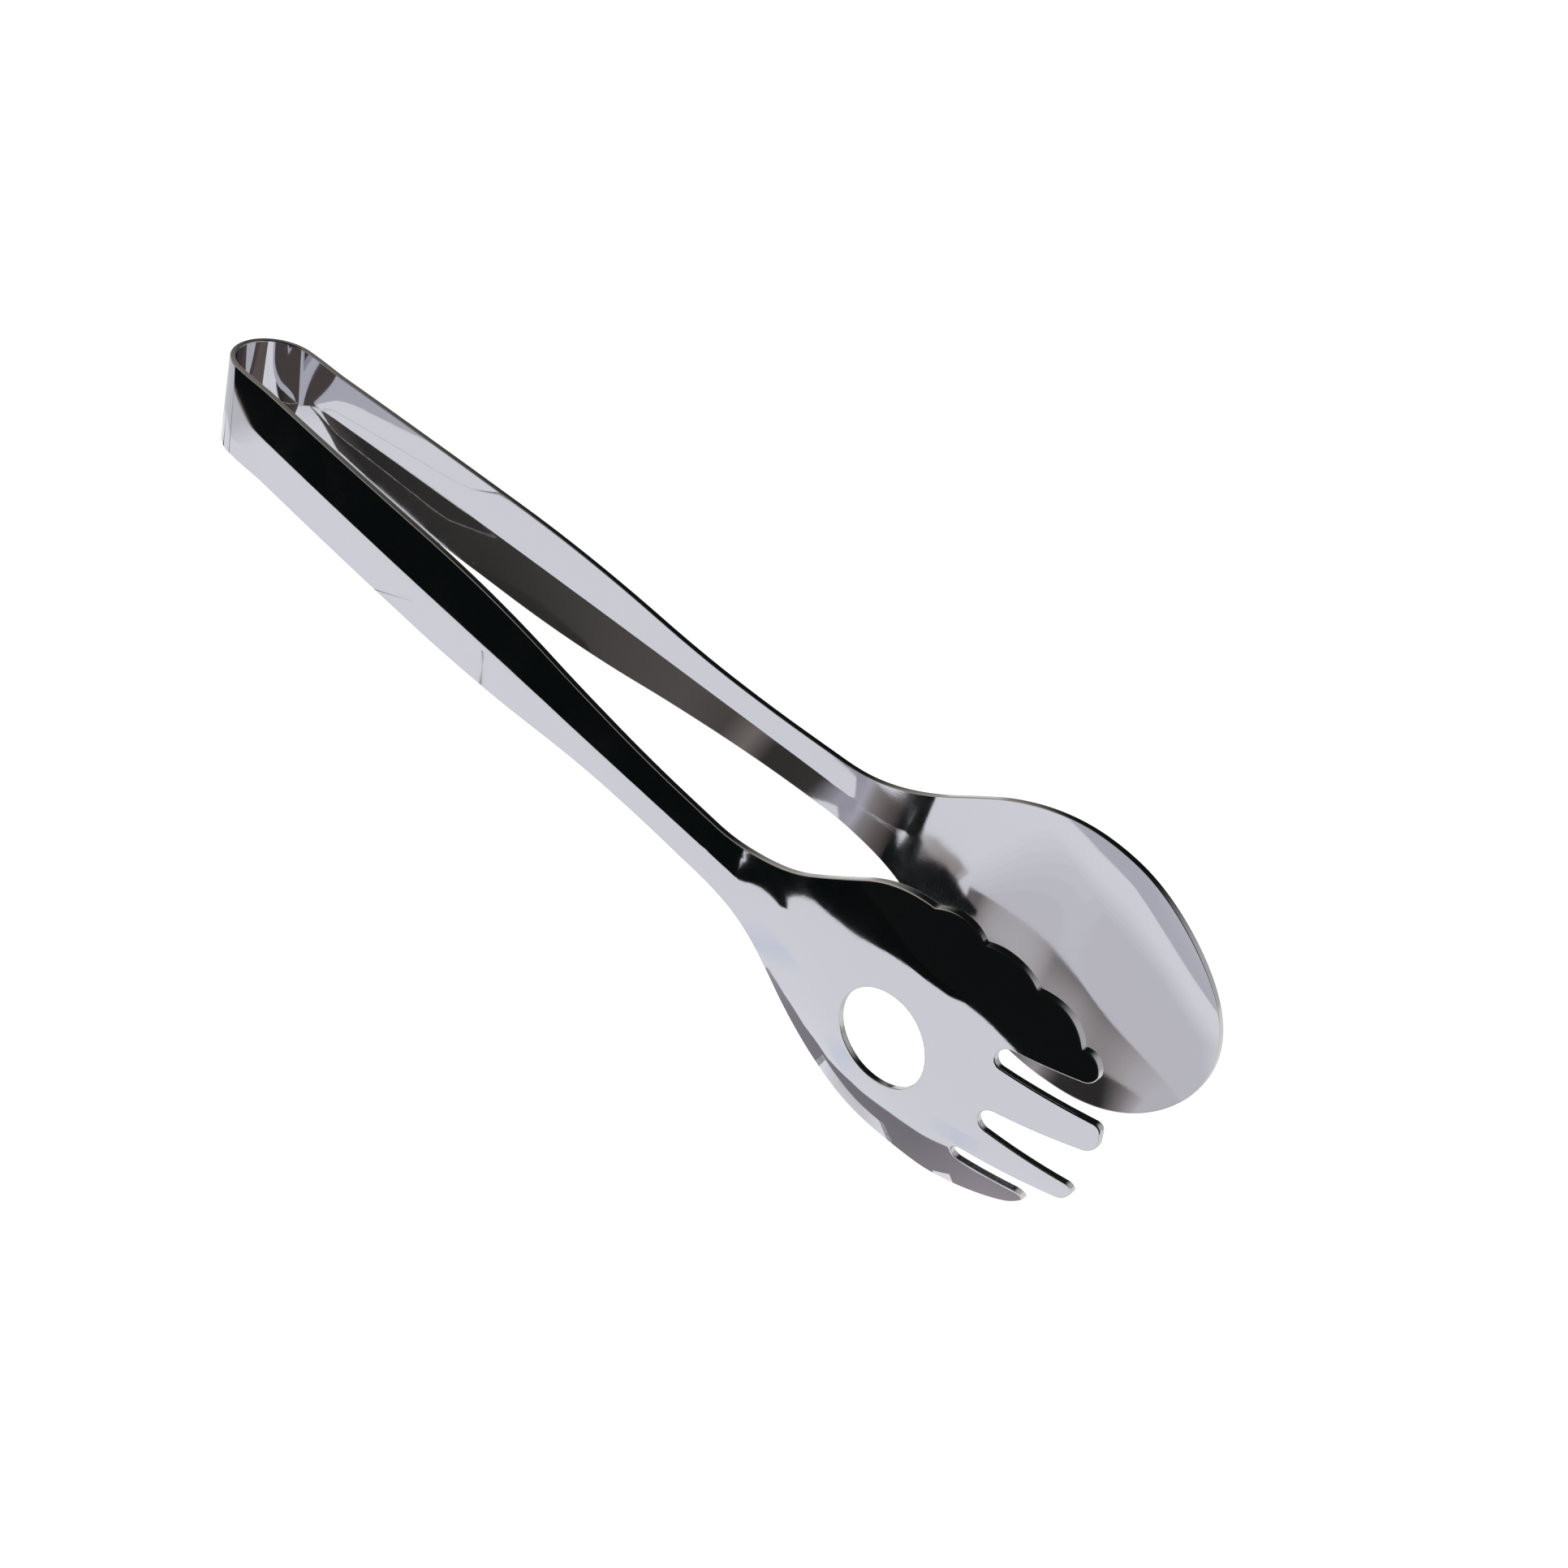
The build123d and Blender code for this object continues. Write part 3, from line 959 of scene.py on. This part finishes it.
    def smooth(self, mesh: bpy.types.Mesh) -> None:
        """Gives the half its exact normals, so that both halves and the arms reflect as one strip."""
        at = np.array([v.co for v in mesh.vertices]) / MM
        lean = STRIP.bow_lean * (0.5 - at[:, 2] / STRIP.width)
        turn = np.arctan2(at[:, 1], at[:, 0])
        for _ in range(self.lean_passes):       # takes off the lean, which itself depends on the turn
            plumb_x = at[:, 0] - lean * np.cos(turn)
            turn = np.arctan2(at[:, 1], plumb_x)
        radius = np.hypot(plumb_x, at[:, 1])
        middle = STRIP.bow_radius - STRIP.sheet / 2
        half_x = radius + lean
        radial = np.column_stack([np.cos(turn) / half_x, np.sin(turn) / radius,
                                  np.cos(turn) ** 2 * STRIP.bow_lean / STRIP.width / half_x])
        radial /= np.linalg.norm(radial, axis=1)[:, None]
        arm = np.column_stack([np.cos(turn), np.sin(turn), np.zeros(len(turn))])
        arm_turn = math.sin(math.atan(STRIP.arm_slope))
        near_arm = ease(np.abs(np.cos(turn)), self.turn_to_arm, arm_turn)[:, None]
        radial = radial * (1 - near_arm) + arm * near_arm
        radial /= np.linalg.norm(radial, axis=1)[:, None]
        upright = np.array([0, 0, 1]) - radial[:, 2:] * radial
        upright /= np.linalg.norm(upright, axis=1)[:, None]
        # normal of the rounded section: away from the nearest point of its core
        u, v = radius - middle, at[:, 2]
        core_u = np.clip(u, -(STRIP.sheet / 2 - STRIP.rim), STRIP.sheet / 2 - STRIP.rim)
        core_v = np.clip(v, -(STRIP.width / 2 - STRIP.rim), STRIP.width / 2 - STRIP.rim)
        section = np.column_stack([u - core_u, v - core_v])
        section /= np.maximum(np.hypot(*section.T), 1e-9)[:, None]
        normals = section[:, :1] * radial + section[:, 1:] * upright
        give_normals(mesh, normals, lambda polygon: len(polygon.vertices) > 4)

    def build(self, finishes: Finishes) -> None:
        """Makes both halves in place of the imported bow."""
        tree = self.tree(finishes)
        for side, body in ((Side.FORK, "fork_side"), (Side.SPOON, "spoon_side")):
            half = self.half(side, tree, finishes)
            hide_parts("spring_bow")
            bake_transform(half)


@dataclass
class ForkSide:
    """The near arm, which ends in the fork."""

    press: Press = Press(
        side=Side.FORK, neck_x=0.671 * STRIP.reach, palm_x=0.837 * STRIP.reach,
        palm_height=24.9, tip_height=17.5, tip_slope=-0.42, dish=0.0115, tip_dish=0.011)

    def build(self, finishes: Finishes) -> None:
        """Makes the arm and the fork and ties them to their body."""
        for name, blank in (("fork_arm", ArmBlank().blank()), ("fork_head", ForkBlank().blank())):
            piece = PressedSheet(self.press, blank).build(name + "_steel", finishes)
            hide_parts(name)
            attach(piece, "fork_side")


@dataclass
class SpoonSide:
    """The far arm, which ends in the spoon."""

    press: Press = Press(
        side=Side.SPOON, neck_x=0.654 * STRIP.reach, palm_x=0.85 * STRIP.reach,
        palm_height=27.2, tip_height=19.5, tip_slope=-0.40, dish=0.0105, tip_dish=0.004)

    def build(self, finishes: Finishes) -> None:
        """Makes the arm and the bowl and ties them to their body."""
        for name, blank in (("spoon_arm", ArmBlank().blank()), ("spoon_bowl", SpoonBlank().blank())):
            piece = PressedSheet(self.press, blank).build(name + "_steel", finishes)
            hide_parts(name)
            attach(piece, "spoon_side")


# ---------------------------------------------------------------- studio
@dataclass
class Studio:
    """White table, lights and camera."""

    camera_place: tuple[float, float, float] = (0.28486, -0.22120, 0.20891)
    camera_right: tuple[float, float, float] = (0.70913, 0.65949, 0.24942)
    camera_down: tuple[float, float, float] = (0.57292, -0.33277, -0.74902)
    lens: float = 42.853            # on a sensor 36 mm wide
    table_z: float = cad_box[0].z - 0.4 * MM

    def camera(self) -> None:
        """Makes the camera."""
        data = bpy.data.cameras.new("camera")
        data.lens, data.sensor_width = self.lens, 36
        data.clip_start, data.clip_end = 0.01, 20
        camera = bpy.data.objects.new("camera", data)
        bpy.context.scene.collection.objects.link(camera)
        right, up = Vector(self.camera_right), -Vector(self.camera_down)
        back = right.cross(up).normalized()
        up = back.cross(right.normalized())
        turn = Matrix((right.normalized(), up, back)).transposed()
        camera.matrix_world = Matrix.Translation(self.camera_place) @ turn.to_4x4()
        bpy.context.scene.camera = camera

    def plate(self, name: str, corners: Sequence[Point], material: bpy.types.Material) -> bpy.types.Object:
        """Makes a flat stage piece.

        Args:
            name: Its name.
            corners: Its corners in metres.
            material: Its material.

        Returns:
            The piece.
        """
        mesh = bpy.data.meshes.new(name)
        mesh.from_pydata([Vector(c) for c in corners], [], [list(range(len(corners)))])
        mesh.materials.append(material)
        plate = bpy.data.objects.new(name, mesh)
        bpy.context.scene.collection.objects.link(plate)
        return plate

    def glow(self, name: str, *stops: Stop) -> bpy.types.Material:
        """Glowing stage material.

        Args:
            name: Its name.
            *stops: Places along X in millimetres and the colours there, which fade into each other.

        Returns:
            The material.
        """
        material = bpy.data.materials.new(name)
        material.use_nodes = True
        tree = material.node_tree
        tree.nodes.clear()
        place = add_node(tree, "ShaderNodeTexCoord").outputs["Object"]
        along = add_node(tree, "ShaderNodeSeparateXYZ", Vector=place)
        low, high = stops[0][0], max(stops[-1][0], stops[0][0] + 1)
        share = add_node(tree, "ShaderNodeMapRange", Value=along.outputs["X"],
                         From_Min=low * MM, From_Max=high * MM)
        ramp = add_node(tree, "ShaderNodeValToRGB", Fac=share.outputs["Result"])
        colours = ramp.color_ramp.elements
        colours.remove(colours[-1])
        for index, (place, colour) in enumerate(stops):
            stop = colours[0] if index == 0 else colours.new((place - low) / (high - low))
            stop.color = linear(colour)
        light = add_node(tree, "ShaderNodeEmission", Color=ramp.outputs["Color"])
        add_node(tree, "ShaderNodeOutputMaterial", Surface=light.outputs[0])
        return material

    def reflected(self, piece: bpy.types.Object) -> None:
        """Lets only the steel's reflections see a stage piece."""
        for ray in ("camera", "diffuse", "shadow", "transmission"):
            setattr(piece, f"visible_{ray}", False)

    def board(self, name: str, level: float, corners: Sequence[Point], *stops: Stop) -> None:
        """Lays a flat board on the table that only the steel sees.

        Args:
            name: Its name.
            level: Height above the table, in millimetres.
            corners: Plan outline (x, y) in millimetres.
            *stops: Its colours along X.
        """
        z = self.table_z + level * MM
        self.reflected(self.plate(name, [(x * MM, y * MM, z) for x, y in corners], self.glow(name, *stops)))

    def screen(self, name: str, rows: Sequence[tuple[Point, Point]],
               *stops: Stop) -> None:
        """Stands a card that only the steel sees.

        Args:
            name: Its name.
            rows: Pairs of points in millimetres, one on the upper rim and one on the foot.
            *stops: Its colours along X.
        """
        count = len(rows)
        points = [Vector(pair[0]) * MM for pair in rows] + [Vector(pair[1]) * MM for pair in rows]
        faces = [(i, i + 1, i + 1 + count, i + count) for i in range(count - 1)]
        mesh = bpy.data.meshes.new(name)
        mesh.from_pydata(points, [], faces)
        mesh.materials.append(self.glow(name, *stops))
        card = bpy.data.objects.new(name, mesh)
        bpy.context.scene.collection.objects.link(card)
        self.reflected(card)

    def table(self) -> None:
        """White table for the eye."""
        material = bpy.data.materials.new("white_table")
        material.use_nodes = True
        shader = material.node_tree.nodes["Principled BSDF"]
        shader.inputs["Base Color"].default_value = linear("#ffffff")
        shader.inputs["Roughness"].default_value = 0.9
        shader.inputs["Specular IOR Level"].default_value = 0.0
        shader.inputs["Emission Color"].default_value = linear("#ffffff")
        shader.inputs["Emission Strength"].default_value = 0.95
        reach, z = 3.0, self.table_z
        corners = ((-reach, -reach, z), (reach, -reach, z), (reach, reach, z), (-reach, reach, z))
        table = self.plate("table", corners, material)
        table.visible_glossy = False

    def painted_reflections(self) -> None:
        """Glowing boards on the table that only the steel sees, which paint its reflections: the lit table,
        dark and grey bands, and the shade under the jaws.

        A board's level only says which of them lies on top of which.
        """
        self.board("lit_cloth", 0.1, ((-500, -600), (700, -600), (700, 500), (-500, 500)), (0, "#fbfdff"))
        # painted dark reflection with a brown hem: the black of the near arm and of the fork's neck
        dark = ((-600, -34), (-35, -35), (20, -46), (55, -56), (70, -58), (95, -53.5), (110, -49),
                (125, -46), (138.8, -43.6), (138, -46), (133.5, -51), (130.5, -56), (127.5, -61.5),
                (124.5, -67), (119, -77), (108, -102), (96, -135), (88, -170), (80, -220), (78, -270),
                (88, -340), (130, -420), (130, -800), (-600, -800))
        self.board("painted_brown_reflection_hem", 0.2, [(x, y + 1.2 * (x < 100)) for x, y in dark], (0, "#77665c"))
        self.board("painted_dark_reflection", 0.3, dark, (0, "#0d1110"))
        # painted reflections: three faintly blue patches on the lit board
        for x, y in ((154, -29), (184, -26), (214, -31)):
            self.board("painted_blue_reflection", 0.15, ((x - 6, y + 2), (x + 7, y + 4), (x + 6, y - 3), (x - 7, y - 4)),
                       (x - 7, "#fbfdff"), (x, "#eff4ff"), (x + 7, "#fbfdff"))
        # painted reflection of shade: grey for the shaded table under the fork, seen low on the fork
        self.board("painted_grey_reflection", 0.2, ((160, -20), (167, -17), (175, -15.8), (183, -15.7), (212, -15.5),
                                       (215, -13.5), (222, -11), (228, -12.5), (226, -15.5), (222, -18.5),
                                       (216, -22), (213, -25.5), (200, -24.5), (190, -23), (183, -21),
                                       (175, -20.6), (167, -22), (160, -24)),
                   (160, "#b5b0b6"), (170, "#98939a"), (185, "#8a868b"), (205, "#8a868a"), (220, "#a39ca1"))
        # painted highlight: a small white patch
        self.board("painted_highlight", 0.3, ((211.5, -15.6), (215.5, -14.4), (214.5, -17.2), (211.5, -17)),
                   (0, "#ffffff"))
        self.board("neck_shade", 0.2, ((124, -20.5), (134, -16.2), (140, -15.5), (143, -12), (150, -9),
                                       (164, -9), (170, -13), (163, -16.5), (150, -18.3), (141, -19),
                                       (132, -23), (125, -26)),
                   (122, "#4a4743"), (134, "#4a4743"), (141, "#b5b4bc"), (147, "#c3c2ca"), (151, "#9a9592"),
                   (157, "#756d69"), (161, "#59514d"), (164, "#191d1c"))
        # painted reflection: warm greys that darken towards x 188, beside the painted shade of the mouth
        self.board("painted_warm_mouth_reflection", 0.2, ((169, -14.4), (175, -12), (181, -11), (186, -12.5), (188.5, -15.4),
                                       (172, -15.4)),
                   (170, "#d5d3d2"), (178, "#b3aca6"), (188, "#a59c98"))
        self.board("mouth_shade", 0.3, ((162, -9), (167, -12), (173, -14), (180, -13.7), (184, -15.4),
                                        (169, -15.4), (163, -14)), (163, "#191d1c"), (180, "#141817"))
        # painted reflection for the bow: light grey at x -36, white from x -22
        self.board("painted_bow_reflection", 0.12, ((-80, -34), (-22, -34), (-22, 30), (-80, 30)), (-36, "#dcdde0"),
                   (-22, "#fbfdff"))
        self.board("bow_shade", 0.2, ((12, -6), (45, -6), (45, 30), (12, 30)), (0, "#6b625c"))
        # rings one inside the other, which fade into a soft shade
        for ring, colour in enumerate(("#f9fafd", "#f5f6f9", "#f0f1f4", "#ebecef", "#e6e7ea", "#e2e2e5")):
            inset = 1.2 * ring
            self.board("bowl_shade", 0.2 + 0.02 * ring, (
                (182 + inset, -20), (184 + inset, -6), (185 + inset, 12 - inset), (200, 14 - inset),
                (215 - inset, 12 - inset), (214 - inset, -8), (200 - inset, -20)), (0, colour))

    def screens(self) -> None:
        """Cards between the jaws and the table that part what each jaw reflects, with painted shade and
        painted light on them.
        """
        floor = self.table_z / MM
        foot = ((170, floor), (183, floor), (185.5, -24.6), (188.5, -22.9))
        rim = ((170, -25.8), (178, -23.2), (186, -21.4), (188.5, -22.1))
        # painted shade: a dark card under the fork
        self.screen("painted_shade_under_fork", [((x, -15.5, z), (u, -15.5, v)) for (x, z), (u, v) in zip(rim, foot)],
                    (0, "#141817"))
        # painted reflection: a card that is grey at x 188 and lighter towards x 194
        self.screen("painted_fork_inside_reflection", [((x, -15.6, -18), (x, -15.6, floor)) for x in (186, 198)],
                    (188, "#7d7875"), (189.5, "#b0aba8"), (191, "#c8c5c4"), (194, "#dad9db"))
        self.screen("tine_shade", [((x, -15.5, -17.6), (x, -15.5, -20.3)) for x in (186, 193.8)],
                    (189.5, "#353331"), (191.5, "#918c89"), (193.8, "#cfcccb"))

        # under the near arm: cards with painted shade below and painted light above, leaning beside the bow
        # and then reaching from the arm's edge to the table
        turn_from, turn_over = 34, 16           # X where the one shape begins to become the other
        lean_rim, lean_slope = -4.5, 0.85       # Y of the leaning cards' upper rim, and their slope
        lip_foot = -27                          # Y where the lip cards meet the table
        edge, lit, lip, lip_lit = [], [], [], []
        for x in np.linspace(-20, 145, 34):
            z = -np.interp(x, (0, 65, 142), (10.4, 10.4, 5.9)) - 0.4
            y = -(ForkSide.press.outer(np.array([max(x, 1)]), np.array([z]))[0] - 0.7)
            inner_foot = np.interp(x, (-20, 0, 13, 34), (-24, -22.3, -21.6, -20.5))
            outer_foot = np.interp(x, (66, 84), (lip_foot, y))
            share = np.clip((x - turn_from) / turn_over, 0, 1)
            foot_y = (1 - share) * inner_foot + share * outer_foot
            rim_y = (1 - share) * lean_rim + share * y
            rim_z = (1 - share) * (floor + lean_slope * (lean_rim - inner_foot)) + share * z
            edge.append(((x, rim_y, rim_z), (x, foot_y, floor + 0.2)))
            lit.append(((x, rim_y, rim_z + 0.05), (x, foot_y - 0.3, floor + 0.3)))
            lip.append(((x, y, z), (x, lip_foot, floor + 0.2)))
            lip_lit.append(((x, y - 0.3, z), (x, lip_foot - 0.3, floor + 0.2)))
        # painted shade on the cards under the grip, and painted light on their lit copy
        self.screen("painted_shade_under_grip", edge, (-14, "#5c5450"), (0, "#353432"), (40, "#3c3b37"), (100, "#615d58"),
                    (112, "#57534e"), (118, "#857d78"), (123, "#3d3a38"), (134, "#403c39"), (139, "#b5b4bc"))
        self.screen("grip_light", lit[:22], (0, "#fbfdff"))
        # painted shade on the lip cards, and painted light on their lit copy
        self.screen("grip_lip", lip[:15], (-14, "#5c5450"), (0, "#353432"), (40, "#3c3b37"))
        self.screen("grip_lip_light", lip_lit[:15], (0, "#fbfdff"))
        self.board("grip_shade", 0.4, ((-18, -23.4), (-10, -22.2), (0, -20.6), (10, -19.7), (20, -18.6),
                                       (66, -15.5), (84, -13.2), (84, -13.8), (66, -26.8),
                                       (50, -26.8), (34, -20.4),
                                       (13, -21.5), (0, -22.2), (-18, -23.8)), (0, "#383733"))

    def lamp(self, name: str, place: Sequence[float], aim: Sequence[float], size: tuple[float, float],
             power: float, seen: bool) -> None:
        """Adds a soft rectangular lamp.

        Args:
            name: Its name.
            place: Where it hangs.
            aim: Point that it faces.
            size: Width and height.
            power: Watts.
            seen: Whether the steel reflects it.
        """
        data = bpy.data.lights.new(name, "AREA")
        data.shape, data.size, data.size_y, data.energy = "RECTANGLE", *size, power
        lamp = bpy.data.objects.new(name, data)
        bpy.context.scene.collection.objects.link(lamp)
        lamp.location = place
        lamp.rotation_euler = (Vector(aim) - Vector(place)).to_track_quat("-Z", "Y").to_euler()
        lamp.visible_glossy = seen

    def room(self) -> None:
        """Dark room with three pale lights on its walls, as the steel sees it."""
        world = bpy.data.worlds.new("room")
        bpy.context.scene.world = world
        world.use_nodes = True
        tree = world.node_tree
        tree.nodes.clear()
        place = add_node(tree, "ShaderNodeTexCoord").outputs["Generated"]
        total = None
        # direction, colour, strength, and the cosines where a wall ends and where it is full
        walls = (((-0.67, -0.56, 0.5), "#d9d4cf", 0.8, 0.91, 0.98),
                 ((-1, 0.1, 0.0), "#d9d4cf", 0.9, 0.6, 0.95),
                 ((0.75, 0.65, 0.1), "#dcdce4", 0.8, 0.6, 0.95))
        for direction, colour, strength, outside, core in walls:
            toward = add_node(tree, "ShaderNodeVectorMath", {"operation": "DOT_PRODUCT"}, i0=place,
                              i1=Vector(direction).normalized())
            glow = add_node(tree, "ShaderNodeMapRange", {"interpolation_type": "SMOOTHSTEP"},
                            Value=toward.outputs["Value"], From_Min=outside, From_Max=core, To_Max=strength)
            tint = add_node(tree, "ShaderNodeVectorMath", {"operation": "SCALE"}, i0=linear(colour)[:3],
                            Scale=glow.outputs["Result"])
            total = tint if total is None else add_node(tree, "ShaderNodeVectorMath", {"operation": "ADD"},
                                                        i0=total.outputs[0], i1=tint.outputs[0])
        dim = add_node(tree, "ShaderNodeVectorMath", {"operation": "ADD"}, i0=total.outputs[0],
                       i1=linear("#141716")[:3])
        sky = add_node(tree, "ShaderNodeBackground", Color=dim.outputs[0], Strength=1.0)
        add_node(tree, "ShaderNodeOutputWorld", Surface=sky.outputs[0])

    def build(self) -> None:
        """Sets the whole stage."""
        self.camera()
        self.table()
        self.painted_reflections()
        self.screens()
        self.room()
        self.lamp("ceiling_light", (0.1, 0.1, 1.2), (0.1, 0, 0), (1.2, 1.2), 1.5, False)
        bpy.context.scene.view_settings.view_transform = "Standard"


def main() -> None:
    """Builds the tongs and their stage."""
    logging.basicConfig(level=logging.INFO, format="%(name)s: %(message)s")
    finishes = (RolledSteel().material(), BlankedEdge().material())
    Studio().build()
    SpringBow().build(finishes)
    ForkSide().build(finishes)
    SpoonSide().build(finishes)


if __name__ == "__main__":
    main()
